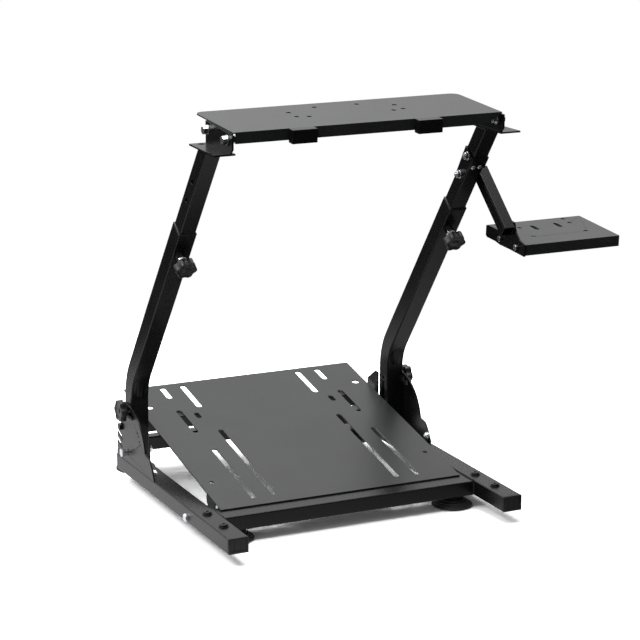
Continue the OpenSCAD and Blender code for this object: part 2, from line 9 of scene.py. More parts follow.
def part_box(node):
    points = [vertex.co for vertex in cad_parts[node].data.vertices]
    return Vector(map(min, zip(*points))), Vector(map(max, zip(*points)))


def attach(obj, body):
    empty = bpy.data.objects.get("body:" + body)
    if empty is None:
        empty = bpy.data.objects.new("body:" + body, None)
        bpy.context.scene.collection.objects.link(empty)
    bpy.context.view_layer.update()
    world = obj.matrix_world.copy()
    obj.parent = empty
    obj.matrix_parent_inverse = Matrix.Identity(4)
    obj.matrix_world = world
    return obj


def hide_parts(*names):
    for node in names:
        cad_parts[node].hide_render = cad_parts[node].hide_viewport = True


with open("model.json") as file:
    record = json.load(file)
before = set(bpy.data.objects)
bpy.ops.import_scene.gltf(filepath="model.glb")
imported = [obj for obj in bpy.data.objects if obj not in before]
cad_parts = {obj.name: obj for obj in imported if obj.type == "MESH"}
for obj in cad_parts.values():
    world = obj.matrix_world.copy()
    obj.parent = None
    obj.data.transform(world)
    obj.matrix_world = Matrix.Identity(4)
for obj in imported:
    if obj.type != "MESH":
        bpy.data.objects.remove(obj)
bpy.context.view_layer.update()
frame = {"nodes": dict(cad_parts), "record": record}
mm = 0.001
print("frame loaded:", len(frame["nodes"]), "nodes")

# the stand's own zero: middle of the rails, their front end and their underside
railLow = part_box("rail_left")[0]
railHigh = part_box("rail_right")[1]
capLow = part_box("cap_front_left")[0]
standZero = Vector(((railLow.x + railHigh.x) / 2, capLow.y, railLow.z))
print("stand zero at", [round(v, 5) for v in standZero])


def linearColour(hexCode):
    values = [int(hexCode[i:i + 2], 16) / 255 for i in (1, 3, 5)]
    lin = [v / 12.92 if v <= 0.04045 else ((v + 0.055) / 1.055) ** 2.4 for v in values]
    return (*lin, 1.0)


white = linearColour("#ffffff")


def addNode(tree, kind, settings=None, links=None):
    node = tree.nodes.new(kind)
    for key, value in (settings or {}).items():
        if isinstance(key, int) or key in node.inputs:
            node.inputs[key].default_value = value
        else:
            setattr(node, key, value)
    for key, source in (links or {}).items():
        tree.links.new(source, node.inputs[key])
    return node


def newMaterial(name):
    material = bpy.data.materials.new(name)
    material.use_nodes = True
    tree = material.node_tree
    tree.nodes.clear()
    return material, tree


# powder coat on steel: fine orange peel a millimetre or so across, cured satin,
# slightly paler where the coat is thin
powderCoat = {
    "peelSizeMm": 1.4,  # real peel is about 0.6 mm, drawn coarser so that it shows
    "peelDetail": 2.0,
    "peelBreak": 0.55,
    "peelFrom": 0.3,
    "peelTo": 0.7,
    "cloudSizeMm": 90,
    "cloudDetail": 3.0,
    "cloudFrom": 0.35,
    "cloudTo": 0.65,
    "bump": 0.05,
    "bumpDepth": 0.0004,
}
# the tubes have the smoother, deeper black, the plates a slightly rougher and paler one
frameCoat = {
    "deep": "#070708",
    "pale": "#0c0c0d",
    "roughLow": 0.22,
    "roughHigh": 0.32,
    "bumpShare": 0.4,
    "ior": 1.3,
}
plateCoat = {
    "deep": "#141516",
    "pale": "#1a1b1c",
    "roughLow": 0.30,
    "roughHigh": 0.42,
    "bumpShare": 1.2,
    "ior": 1.5,
}


def powderCoatMaterial(name, coat):
    material, tree = newMaterial(name)
    coords = addNode(tree, "ShaderNodeTexCoord")
    peel = addNode(tree, "ShaderNodeTexNoise",
                   {"Scale": 1000 / powderCoat["peelSizeMm"],
                    "Detail": powderCoat["peelDetail"], "Roughness": powderCoat["peelBreak"]},
                   {"Vector": coords.outputs["Object"]})
    cloud = addNode(tree, "ShaderNodeTexNoise",
                    {"Scale": 1000 / powderCoat["cloudSizeMm"],
                     "Detail": powderCoat["cloudDetail"]},
                    {"Vector": coords.outputs["Object"]})
    tone = addNode(tree, "ShaderNodeValToRGB", links={"Fac": cloud.outputs["Fac"]})
    tone.color_ramp.elements[0].position = powderCoat["cloudFrom"]
    tone.color_ramp.elements[0].color = linearColour(coat["deep"])
    tone.color_ramp.elements[1].position = powderCoat["cloudTo"]
    tone.color_ramp.elements[1].color = linearColour(coat["pale"])
    rough = addNode(tree, "ShaderNodeMapRange",
                    {"From Min": powderCoat["peelFrom"], "From Max": powderCoat["peelTo"],
                     "To Min": coat["roughLow"], "To Max": coat["roughHigh"]},
                    {"Value": peel.outputs["Fac"]})
    bump = addNode(tree, "ShaderNodeBump",
                   {"Strength": powderCoat["bump"] * coat["bumpShare"],
                    "Distance": powderCoat["bumpDepth"]},
                   {"Height": peel.outputs["Fac"]})
    shader = addNode(tree, "ShaderNodeBsdfPrincipled", {"IOR": coat["ior"]},
                     {"Base Color": tone.outputs["Color"], "Roughness": rough.outputs["Result"],
                      "Normal": bump.outputs["Normal"]})
    addNode(tree, "ShaderNodeOutputMaterial", links={"Surface": shader.outputs["BSDF"]})
    return material


satinBlackPowderCoat = powderCoatMaterial("satin_black_powder_coat", frameCoat)
plateBlackPowderCoat = powderCoatMaterial("textured_black_powder_coat", plateCoat)

# moulded plastic and rubber: fine spark-eroded grain, dull and even
moulding = {
    "wearSizeMm": 12,
    "wearDetail": 4.0,
    "wearFrom": 0.25,
    "wearTo": 0.75,
    "bumpDepth": 0.0003,
    "ior": 1.49,
}
# polypropylene takes a soft shine on its grain, rubber stays dull
polypropylene = {
    "deep": "#0c0c0d",
    "pale": "#141415",
    "grainMm": 0.9,
    "roughLow": 0.34,
    "roughHigh": 0.48,
    "bump": 0.12,
}
rubber = {
    "deep": "#0a0a0a",
    "pale": "#131312",
    "grainMm": 1.3,
    "roughLow": 0.66,
    "roughHigh": 0.8,
    "bump": 0.2,
}


def mouldedMaterial(name, finish):
    material, tree = newMaterial(name)
    coords = addNode(tree, "ShaderNodeTexCoord")
    grain = addNode(tree, "ShaderNodeTexVoronoi",
                    {"Scale": 1000 / finish["grainMm"], "feature": "F1"},
                    {"Vector": coords.outputs["Object"]})
    wear = addNode(tree, "ShaderNodeTexNoise",
                   {"Scale": 1000 / moulding["wearSizeMm"], "Detail": moulding["wearDetail"]},
                   {"Vector": coords.outputs["Object"]})
    tone = addNode(tree, "ShaderNodeMixRGB",
                   {"Color1": linearColour(finish["deep"]),
                    "Color2": linearColour(finish["pale"])},
                   {"Fac": wear.outputs["Fac"]})
    rough = addNode(tree, "ShaderNodeMapRange",
                    {"From Min": moulding["wearFrom"], "From Max": moulding["wearTo"],
                     "To Min": finish["roughLow"], "To Max": finish["roughHigh"]},
                    {"Value": wear.outputs["Fac"]})
    bump = addNode(tree, "ShaderNodeBump",
                   {"Strength": finish["bump"], "Distance": moulding["bumpDepth"]},
                   {"Height": grain.outputs["Distance"]})
    shader = addNode(tree, "ShaderNodeBsdfPrincipled", {"IOR": moulding["ior"]},
                     {"Base Color": tone.outputs["Color"], "Roughness": rough.outputs["Result"],
                      "Normal": bump.outputs["Normal"]})
    addNode(tree, "ShaderNodeOutputMaterial", links={"Surface": shader.outputs["BSDF"]})
    return material


mouldedPolypropylene = mouldedMaterial("moulded_black_polypropylene", polypropylene)
mouldedRubber = mouldedMaterial("moulded_black_rubber", rubber)

# zinc-plated steel, bright passivated: cool grey with a faint spangle
zincPlating = {
    "deep": "#b9bcc2",
    "pale": "#dcdee2",
    "spangleMm": 2.2,
    "spangleDetail": 3.0,
    "spangleFrom": 0.3,
    "spangleTo": 0.7,
    "roughLow": 0.20,
    "roughHigh": 0.34,
    "bump": 0.06,
    "bumpDepth": 0.0002,
}


def zincMaterial():
    material, tree = newMaterial("bright_zinc_plated_steel")
    coords = addNode(tree, "ShaderNodeTexCoord")
    spangle = addNode(tree, "ShaderNodeTexNoise",
                      {"Scale": 1000 / zincPlating["spangleMm"],
                       "Detail": zincPlating["spangleDetail"]},
                      {"Vector": coords.outputs["Object"]})
    tone = addNode(tree, "ShaderNodeMixRGB",
                   {"Color1": linearColour(zincPlating["deep"]),
                    "Color2": linearColour(zincPlating["pale"])},
                   {"Fac": spangle.outputs["Fac"]})
    rough = addNode(tree, "ShaderNodeMapRange",
                    {"From Min": zincPlating["spangleFrom"], "From Max": zincPlating["spangleTo"],
                     "To Min": zincPlating["roughLow"], "To Max": zincPlating["roughHigh"]},
                    {"Value": spangle.outputs["Fac"]})
    bump = addNode(tree, "ShaderNodeBump",
                   {"Strength": zincPlating["bump"], "Distance": zincPlating["bumpDepth"]},
                   {"Height": spangle.outputs["Fac"]})
    shader = addNode(tree, "ShaderNodeBsdfPrincipled", {"Metallic": 1.0},
                     {"Base Color": tone.outputs["Color"], "Roughness": rough.outputs["Result"],
                      "Normal": bump.outputs["Normal"]})
    addNode(tree, "ShaderNodeOutputMaterial", links={"Surface": shader.outputs["BSDF"]})
    return material


brightZinc = zincMaterial()

materialOfSlot = {
    "frame_coat": satinBlackPowderCoat,
    "plate_coat": plateBlackPowderCoat,
    "plastic": mouldedPolypropylene,
    "rubber": mouldedRubber,
    "zinc": brightZinc,
}

# softened edges of the CAD nodes, in millimetres, by slot
cadEdges = {
    "frame_coat": 0.7,
    "plate_coat": 0.9,
    "plastic": 0.8,
    "rubber": 0.8,
    "zinc": 0.4,
    "sleeve": 2.2,  # the square sleeves are rolled tube with rounder corners
    "angle": 40,
    "weldDistance": 0.00001,
}
for part in frame["record"]["subparts"]:
    node = frame["nodes"][part["node"]]
    slotName = part["material_slot"]
    node.data.materials.clear()
    node.data.materials.append(materialOfSlot[slotName])
    weld = node.modifiers.new("weld", "WELD")
    weld.merge_threshold = cadEdges["weldDistance"]
    isSleeve = part["node"].startswith("sleeve")
    soften = node.modifiers.new("soften", "BEVEL")
    soften.width = cadEdges["sleeve" if isSleeve else slotName] * mm
    soften.segments = 3 if isSleeve else 2
    soften.limit_method = "ANGLE"
    soften.angle_limit = math.radians(cadEdges["angle"])
    # large flat faces keep an even shade next to their soft edges
    even = node.modifiers.new("even", "WEIGHTED_NORMAL")
    even.keep_sharp = True
    even.weight = 100
print("materials assigned to the frame")

mergeDistance = 0.000001  # points closer than this become one, in metres
faceWithin = 0.00001  # how near a face's middle is to the plane it is picked by, in metres
edgeAngle = math.radians(35)  # edges sharper than this are rounded, and kept in the shading


def standPoint(x, y, z):
    return standZero + Vector((x, y, z)) * mm


def selectWhere(piece, kind, test):
    bpy.ops.mesh.select_mode(type=kind)
    bpy.ops.mesh.select_all(action="DESELECT")
    mesh = bmesh.from_edit_mesh(piece.data)
    parts = mesh.verts if kind == "VERT" else mesh.faces
    for part in parts:
        part.select_set(test(part.co if kind == "VERT" else part.calc_center_median()))
    mesh.select_flush_mode()
    bmesh.update_edit_mesh(piece.data)


def takeAlone(piece):
    bpy.ops.object.select_all(action="DESELECT")
    piece.select_set(True)
    bpy.context.view_layer.objects.active = piece


def applyPlace():
    bpy.ops.object.transform_apply(location=True, rotation=True, scale=True)


def placeMesh(piece, matrix):
    takeAlone(piece)
    piece.matrix_world = matrix
    applyPlace()


def applyModifier(piece, kind, settings):
    takeAlone(piece)
    modifier = piece.modifiers.new(kind.lower(), kind)
    for key, value in settings.items():
        setattr(modifier, key, value)
    bpy.ops.object.modifier_apply(modifier=modifier.name)


def roundEdges(piece, widthMm, segments=2):
    applyModifier(piece, "BEVEL", {"width": widthMm * mm, "segments": segments,
                                   "limit_method": "ANGLE", "angle_limit": edgeAngle})


def joinWith(piece, tool, operation):
    applyModifier(piece, "BOOLEAN", {"operation": operation, "object": tool, "solver": "EXACT"})
    bpy.data.objects.remove(tool)


# smooths, names and hangs a finished piece on the body that it moves with
def finishPiece(piece, name, material, body, bevelMm=0.0, replaced=()):
    if bevelMm:
        roundEdges(piece, bevelMm)
    takeAlone(piece)
    bpy.ops.object.mode_set(mode="EDIT")
    bpy.ops.mesh.select_all(action="SELECT")
    bpy.ops.mesh.remove_doubles(threshold=mergeDistance)
    bpy.ops.mesh.normals_make_consistent(inside=False)
    bpy.ops.object.mode_set(mode="OBJECT")
    bpy.ops.object.shade_smooth_by_angle(angle=edgeAngle)
    piece.name = name
    piece.data.name = name
    piece.data.materials.clear()
    piece.data.materials.append(material)
    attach(piece, body)
    if replaced:
        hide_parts(*replaced)


# a plain block to start from or to cut with, place and size in metres
def makeBlock(place, size):
    bpy.ops.mesh.primitive_cube_add(size=1, location=place, scale=size)
    block = bpy.context.object
    applyPlace()
    return block


# a round piece built up ring by ring along Z, rings as (radius, height) in millimetres
def turnedPiece(rings, sideCount):
    bpy.ops.mesh.primitive_circle_add(vertices=sideCount, radius=rings[0][0] * mm,
                                      fill_type="NGON", location=(0, 0, rings[0][1] * mm))
    piece = bpy.context.object
    applyPlace()
    bpy.ops.object.mode_set(mode="EDIT")
    bpy.ops.mesh.select_all(action="SELECT")
    for (lastR, lastZ), (nextR, nextZ) in zip(rings, rings[1:]):
        bpy.ops.mesh.extrude_region_move(
            TRANSFORM_OT_translate={"value": (0, 0, (nextZ - lastZ) * mm)})
        share = nextR / lastR
        bpy.ops.transform.resize(value=(share, share, 1), center_override=(0, 0, nextZ * mm))
    bpy.ops.mesh.select_all(action="SELECT")
    bpy.ops.mesh.normals_make_consistent(inside=False)
    bpy.ops.object.mode_set(mode="OBJECT")
    return piece


def facing(place, direction):
    turn = Vector(direction).to_track_quat("Z", "Y").to_matrix().to_4x4()
    return Matrix.Translation(place) @ turn


def turnBy(degrees, axis):
    return Matrix.Rotation(math.radians(degrees), 4, axis)


# the uprights' tubes, in millimetres and degrees from the stand's zero
tube = {
    "x": 266.5,
    "pivotY": 486,
    "bendHeight": 184,
    "lean": 36.9,
    "sleeveEnd": 426,
    "halfSleeve": 17,
}


# a frame on an upright's tube axis, Z up the tube and -Y to its front face
def tubeFrame(side, along):
    corner = Matrix.Translation(standPoint(side * tube["x"], tube["pivotY"], tube["bendHeight"]))
    return corner @ turnBy(tube["lean"], "X") @ Matrix.Translation((0, 0, along * mm))


sides = {"left": -1, "right": 1}

# moulded rubber feet: a cup with stepped rings and a neck up to the steel
rubberFoot = {
    "rings": [(36.6, 0), (38, 1.1), (38, 3.2), (36.8, 4.4), (33.4, 5.0), (32.8, 7.2), (28.6, 8.0),
              (27.8, 10.4), (22.6, 11.4), (21.8, 13.6), (16.4, 15.0), (15, 17.2), (11.6, 17.6),
              (11.6, 22.6), (10.8, 23)],
    "sideCount": 64,
}
for corner in ("front_left", "front_right", "rear_left", "rear_right"):
    low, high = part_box("foot_" + corner)
    foot = turnedPiece(rubberFoot["rings"], rubberFoot["sideCount"])
    middle = (low + high) / 2
    placeMesh(foot, Matrix.Translation((middle.x, middle.y, low.z)))
    finishPiece(foot, "rubberFoot_" + corner, mouldedRubber, "base", 0,
                ["foot_" + corner])
print("feet made")

# push-in end caps of the rails: a rounded plate with a sunk panel and two ribs in it
railCap = {
    "plate": 3.0,
    "bevel": 1.1,
    "border": 3.2,
    "sunk": 1.4,
    "rib": 2.0,
    "ribDeep": 1.2,
    "ribShorter": 5,
    "ribShifts": (-6, 6),
}
for end, direction in (("front", -1), ("rear", 1)):
    for sideName in sides:
        low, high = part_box("cap_%s_%s" % (end, sideName))
        outerY = low.y if direction < 0 else high.y
        middle = (low + high) / 2
        cap = makeBlock((middle.x, outerY - direction * railCap["plate"] / 2 * mm, middle.z),
                        (high.x - low.x, railCap["plate"] * mm, high.z - low.z))
        roundEdges(cap, railCap["bevel"], 3)
        bpy.ops.object.mode_set(mode="EDIT")
        selectWhere(cap, "FACE", lambda c: abs(c.y - outerY) < faceWithin)
        bpy.ops.mesh.inset(thickness=railCap["border"] * mm)
        bpy.ops.mesh.extrude_region_move(
            TRANSFORM_OT_translate={"value": (0, -direction * railCap["sunk"] * mm, 0)})
        bpy.ops.object.mode_set(mode="OBJECT")
        for shift in railCap["ribShifts"]:
            ribY = outerY - direction * railCap["ribDeep"] * mm
            rib = makeBlock((middle.x + shift * mm, ribY, middle.z),
                            (railCap["rib"] * mm, railCap["ribDeep"] * mm,
                             (high.z - low.z) - railCap["ribShorter"] * mm))
            joinWith(cap, rib, "UNION")
        finishPiece(cap, "railCap_%s_%s" % (end, sideName), mouldedPolypropylene,
                    "base", 0, ["cap_%s_%s" % (end, sideName)])
print("rail caps made")

# star knobs: six lobes shaped on a 48-sided drum, a sunk face, a round hub under it
# and a button in the middle of the face
starKnob = {
    "lobes": 6,
    "sideCount": 48,
    "shares": {0: 1.0, 1: 0.985, 2: 0.93, 3: 0.86, 4: 0.83},
    "faceBorder": 3.6,
    "faceSunk": 1.6,
    "faceShare": 0.94,
    "hubFoot": 0.92,  # shares of the hub's radius
    "hubFlare": 1.15,
    "hubBevel": 0.8,
    "hubSides": 40,
    "buttonRadius": 5.2,
    "buttonTop": 4.4,
    "buttonDepths": (2.4, 0.9, 0.3),
    "studSides": 24,
    "bevel": 0.9,
}


def makeStarKnob(sizes):
    radius, thick = sizes["radius"], sizes["thick"]
    hubRadius, hubLength = sizes["hubRadius"], sizes["hubLength"]
    top = hubLength + thick
    bpy.ops.mesh.primitive_cylinder_add(vertices=starKnob["sideCount"], radius=radius * mm,
                                        depth=thick * mm,
                                        location=(0, 0, (hubLength + thick / 2) * mm))
    knob = bpy.context.object
    applyPlace()
    bpy.ops.object.mode_set(mode="EDIT")
    perLobe = starKnob["sideCount"] // starKnob["lobes"]

    # how many corners of the drum a point is from the tip of its lobe
    def lobeStep(co):
        turn = math.degrees(math.atan2(co.y, co.x))
        step = round(turn * starKnob["sideCount"] / 360) % perLobe
        return min(step, perLobe - step)

    for step, share in starKnob["shares"].items():
        selectWhere(knob, "VERT", lambda co: lobeStep(co) == step)
        bpy.ops.transform.resize(value=(share, share, 1), center_override=(0, 0, 0))
    topZ = top * mm
    selectWhere(knob, "FACE", lambda c: c.z > topZ - faceWithin)
    bpy.ops.mesh.inset(thickness=starKnob["faceBorder"] * mm)
    bpy.ops.mesh.extrude_region_move(
        TRANSFORM_OT_translate={"value": (0, 0, -starKnob["faceSunk"] * mm)})
    bpy.ops.transform.resize(value=(starKnob["faceShare"], starKnob["faceShare"], 1),
                             center_override=(0, 0, topZ))
    bpy.ops.object.mode_set(mode="OBJECT")
    hub = turnedPiece([(hubRadius * starKnob["hubFoot"], 0), (hubRadius, starKnob["hubBevel"]),
                       (hubRadius, hubLength - 1),
                       (hubRadius * starKnob["hubFlare"], hubLength + starKnob["hubBevel"])],
                      starKnob["hubSides"])
    joinWith(knob, hub, "UNION")
    buttonRadii = (starKnob["buttonRadius"], starKnob["buttonRadius"], starKnob["buttonTop"])
    button = turnedPiece([(r, top - depth) for r, depth
                          in zip(buttonRadii, starKnob["buttonDepths"])], starKnob["studSides"])
    joinWith(knob, button, "UNION")
    return knob


# the fold knobs stand off the outer pivot plates, the height knobs off the sleeves' fronts
foldKnob = {
    "radius": 21,
    "thick": 12,
    "hubRadius": 9,
    "hubLength": 5,
    "stud": [(2.6, -15), (3, -14.4), (3, 2)],
}
heightKnob = {
    "radius": 20,
    "thick": 15,
    "hubRadius": 9,
    "hubLength": 8,
    "stud": [(3.6, -9.4), (4, -9), (4, 2)],
    "down": 58,
    "face": tube["halfSleeve"] + 9 + 0.5,  # the nut's height and a little room
}
# the welded nut that the height knob's stud runs in, plated bright
heightNut = {
    "rings": [(8.0, 17.02), (8.3, 17.8), (8.3, 24.6), (7.4, 25.9)],
    "bore": [(4.2, 10), (4.2, 40)],
    "bevel": 0.3,
}
for sideName, side in sides.items():
    low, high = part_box("fold_knob_" + sideName)
    reach = (foldKnob["thick"] + foldKnob["hubLength"]) * mm
    baseX = low.x + reach if side < 0 else high.x - reach
    middle = (low + high) / 2
    place = facing((baseX, middle.y, middle.z), (side, 0, 0))
    knob = makeStarKnob(foldKnob)
    placeMesh(knob, place)
    finishPiece(knob, "foldKnob_" + sideName, mouldedPolypropylene,
                "fold_knob_" + sideName, starKnob["bevel"], ["fold_knob_" + sideName])
    stud = turnedPiece(foldKnob["stud"], starKnob["studSides"])
    placeMesh(stud, place)
    finishPiece(stud, "foldKnobStud_" + sideName, brightZinc, "fold_knob_" + sideName)

    place = tubeFrame(side, tube["sleeveEnd"] - heightKnob["down"]) @ turnBy(90, "X")
    onFace = place @ Matrix.Translation((0, 0, heightKnob["face"] * mm))
    knob = makeStarKnob(heightKnob)
    placeMesh(knob, onFace)
    finishPiece(knob, "heightKnob_" + sideName, mouldedPolypropylene,
                "height_knob_" + sideName, starKnob["bevel"], ["height_knob_" + sideName])
    stud = turnedPiece(heightKnob["stud"], starKnob["studSides"])
    placeMesh(stud, onFace)
    finishPiece(stud, "heightKnobStud_" + sideName, brightZinc,
                "height_knob_" + sideName)
    nut = turnedPiece(heightNut["rings"], 6)
    placeMesh(nut, place)
    bore = turnedPiece(heightNut["bore"], starKnob["studSides"])
    placeMesh(bore, place)
    joinWith(nut, bore, "DIFFERENCE")
    finishPiece(nut, "heightNut_" + sideName, brightZinc, "uprights",
                heightNut["bevel"])
print("knobs made")


# a hexagon head on its washer, with the thread's end standing proud of it; each thread
# is a millimetre from the last
hexBolt = {
    "headFoot": 0.97,  # shares of the head's radius
    "headTop": 0.88,
    "headBevel": (0.5, 0.9),
    "washerBevel": (0.4, 0.3),
    "washerSides": 32,
    "threadDip": 0.86,  # shares of the thread's radius
    "threadEnd": 0.8,
    "threadSides": 20,
    "overlap": 0.02,
}


def makeHexBolt(sizes):
    headRadius, washer = sizes["head"], sizes["washer"]
    threadRadius = sizes["thread"]
    washerTop = sizes["washerThick"]
    headTop = washerTop + sizes["headThick"]
    lowBevel, topBevel = hexBolt["headBevel"]
    bolt = turnedPiece([(headRadius * hexBolt["headFoot"], washerTop),
                        (headRadius, washerTop + lowBevel), (headRadius, headTop - topBevel),
                        (headRadius * hexBolt["headTop"], headTop)], 6)
    inward, downward = hexBolt["washerBevel"]
    ring = turnedPiece([(washer, 0), (washer, washerTop - downward),
                        (washer - inward, washerTop + hexBolt["overlap"])],
                       hexBolt["washerSides"])
    joinWith(bolt, ring, "UNION")
    rings = [(threadRadius, headTop - 1)]
    for step in range(sizes["threadLength"]):
        foot = headTop + step
        rings += [(threadRadius * hexBolt["threadDip"], foot), (threadRadius, foot + 0.5)]
    rings.append((threadRadius * hexBolt["threadEnd"], headTop + sizes["threadLength"]))
    joinWith(bolt, turnedPiece(rings, hexBolt["threadSides"]), "UNION")
    return bolt


# low socket-head bolts on top of the rails, black, over the front cross tube's ends
railBolt = {
    "x": 268,
    "y": (66, 140),
    "z": 29,
    "rings": [(9.4, -0.05), (9.4, 1.0), (9.0, 1.3), (7.6, 1.32), (7.6, 3.6), (6.232, 4.8)],
    "sideCount": 36,
    "socket": [(3.4, 2.0), (3.4, 8)],
    "bevel": 0.25,
}
for sideName, side in sides.items():
    for index, y in enumerate(railBolt["y"]):
        bolt = turnedPiece(railBolt["rings"], railBolt["sideCount"])
        joinWith(bolt, turnedPiece(railBolt["socket"], 6), "DIFFERENCE")
        placeMesh(bolt, Matrix.Translation(standPoint(side * railBolt["x"], y, railBolt["z"])))
        finishPiece(bolt, "railBolt_%s_%d" % (sideName, index + 1), satinBlackPowderCoat,
                    "base", railBolt["bevel"])

# nuts on the inner side of the outer pivot plates, at their toes
toeNut = {
    "x": 284,
    "y": 362,
    "z": 41,
    "head": 6.2,
    "headThick": 4.6,
    "washer": 7.4,
    "washerThick": 1.2,
    "thread": 2.9,
    "threadLength": 2,
    "bevel": 0.2,
}
for sideName, side in sides.items():
    nut = makeHexBolt(toeNut)
    place = standPoint(side * toeNut["x"], toeNut["y"], toeNut["z"])
    placeMesh(nut, facing(place, (-side, 0, 0)))
    finishPiece(nut, "toeNut_" + sideName, brightZinc, "base", toeNut["bevel"])
print("bolts made")

# the shifter's clamp: a long outer cheek and a shorter band around the upper tube
shifterClamp = {
    "height": 606,
    "out": 34.0,
    "bore": 30.2,
    "boreLength": 90,
    "bandFrom": 6.0,
    "bandBevel": 2.0,
    "length": 68.0,
    "cheek": 2.0,
    "cheekNarrower": 1,
    "cheekFoot": 0.72,  # the cheek's lower end is this share of its width
    "bevel": 0.3,
}
clampAlong = (shifterClamp["height"] - tube["bendHeight"]) / math.cos(math.radians(tube["lean"]))
clampPlace = tubeFrame(1, clampAlong)
out = shifterClamp["out"]
bandLength = shifterClamp["length"] / 2 - shifterClamp["bandFrom"]
clamp = makeBlock((0, 0, (shifterClamp["bandFrom"] + bandLength / 2) * mm),
                  (out * mm, out * mm, bandLength * mm))
roundEdges(clamp, shifterClamp["bandBevel"], 3)
cheek = makeBlock((-(out - shifterClamp["cheek"]) / 2 * mm, 0, 0),
                  (shifterClamp["cheek"] * mm, (out - shifterClamp["cheekNarrower"]) * mm,
                   shifterClamp["length"] * mm))
bpy.ops.object.mode_set(mode="EDIT")
selectWhere(cheek, "FACE", lambda c: c.z < -shifterClamp["length"] / 2 * mm + faceWithin)
bpy.ops.transform.resize(value=(1, shifterClamp["cheekFoot"], 1),
                         center_override=(-out / 2 * mm, 0, 0))
bpy.ops.object.mode_set(mode="OBJECT")
joinWith(clamp, cheek, "UNION")
bore = makeBlock((0, 0, 0), (shifterClamp["bore"] * mm, shifterClamp["bore"] * mm,
                             shifterClamp["boreLength"] * mm))
joinWith(clamp, bore, "DIFFERENCE")
placeMesh(clamp, clampPlace)
finishPiece(clamp, "shifterClampBand", satinBlackPowderCoat, "head",
            shifterClamp["bevel"], ["shifter_clamp"])

# two bolts through the clamp's cheek, and two small screws in its front
clampBolt = {
    "shifts": (-24, 24),
    "head": 6.6,
    "headThick": 5.6,
    "washer": 7.8,
    "washerThick": 1.4,
    "thread": 3,
    "threadLength": 3,
    "bevel": 0.2,
}
clampScrew = {
    "shifts": (-8, 5),
    "up": 11,
    "rings": [(4.6, -0.05), (4.6, 0.9), (4.0, 1.9), (2.6, 2.5)],
    "sideCount": 28,
    "socket": [(1.9, 1.3), (1.9, 5)],
    "bevel": 0.15,
}
for index, shift in enumerate(clampBolt["shifts"]):
    onCheek = Matrix.Translation((-out / 2 * mm, 0, shift * mm)) @ turnBy(-90, "Y")
    bolt = makeHexBolt(clampBolt)
    placeMesh(bolt, clampPlace @ onCheek)
    finishPiece(bolt, "clampBolt_%d" % (index + 1), brightZinc, "head",
                clampBolt["bevel"])
for index, shift in enumerate(clampScrew["shifts"]):
    onFront = Matrix.Translation((shift * mm, -out / 2 * mm, clampScrew["up"] * mm))
    screw = turnedPiece(clampScrew["rings"], clampScrew["sideCount"])
    joinWith(screw, turnedPiece(clampScrew["socket"], 6), "DIFFERENCE")
    placeMesh(screw, clampPlace @ onFront @ turnBy(90, "X"))
    finishPiece(screw, "clampScrew_%d" % (index + 1), brightZinc, "head",
                clampScrew["bevel"])
print("clamp made")

# weld beads: a run of overlapping ripples, each run from one point to the next on the
# left or right of the stand, and its radius
weldBead = {
    "ripple": 1.6,
    "tall": 1.1,
    "dip": 0.84,
    "end": 0.5,
    "sideCount": 10,
    "runs": {
        "weldCross_%s_front": ((249, 110, 3), (249, 110, 24), 2.0),
        "weldCross_%s_top": ((249, 113, 27.8), (249, 165, 27.8), 1.9),
        "weldPlate_%s_toe": ((283.4, 356, 29.4), (283.4, 392, 29.4), 1.8),
        "weldPlate_%s_mid": ((283.4, 428, 29.4), (283.4, 470, 29.4), 1.8),
    },
}


def makeWeldBead(start, end, radius):
    length = (end - start).length / mm
    count = max(4, round(length / weldBead["ripple"]))
    rings = [(radius * weldBead["end"], 0)]
    for step in range(count):
        at = (step + 0.25) * length / count
        # every third ripple stands a little taller
        rings += [(radius * (1.0 if step % 3 else weldBead["tall"]), at),
                  (radius * weldBead["dip"], at + 0.5 * length / count)]
    rings.append((radius * weldBead["end"], length))
    bead = turnedPiece(rings, weldBead["sideCount"])
    placeMesh(bead, facing(start, end - start))
    return bead


for sideName, side in sides.items():
    for name, (start, end, radius) in weldBead["runs"].items():
        bead = makeWeldBead(standPoint(side * start[0], *start[1:]),
                            standPoint(side * end[0], *end[1:]), radius)
        finishPiece(bead, name % sideName, satinBlackPowderCoat, "base")
print("welds made")

# the pressed swelling on the inside of each bend, where the tube wall gave a little
bendSwell = {
    "bendRadius": 110,
    "size": (12.5, 2.6, 33),
    "segments": 40,
    "rings": 20,
    "creaseHalf": 1.6,
    "crease": 0.8,
}
halfLean = math.radians(tube["lean"] / 2)
bendDrop = bendSwell["bendRadius"] * math.tan(halfLean)
bendReach = bendSwell["bendRadius"] - tube["halfSleeve"]
for sideName, side in sides.items():
    bpy.ops.mesh.primitive_uv_sphere_add(segments=bendSwell["segments"],
                                         ring_count=bendSwell["rings"], radius=mm)
    swell = bpy.context.object
    swell.scale = bendSwell["size"]
    applyPlace()
    bpy.ops.object.mode_set(mode="EDIT")
    # a shallow crease down the middle of the swelling
    selectWhere(swell, "VERT", lambda co: abs(co.x) < bendSwell["creaseHalf"] * mm and co.y < 0)
    bpy.ops.transform.resize(value=(1, bendSwell["crease"], 1), center_override=(0, 0, 0))
    bpy.ops.object.mode_set(mode="OBJECT")
    place = standPoint(side * tube["x"],
                       tube["pivotY"] - bendSwell["bendRadius"] + bendReach * math.cos(halfLean),
                       tube["bendHeight"] - bendDrop + bendReach * math.sin(halfLean))
    placeMesh(swell, Matrix.Translation(place) @ Matrix.Rotation(halfLean, 4, "X"))
    finishPiece(swell, "bendSwell_" + sideName, satinBlackPowderCoat, "uprights")

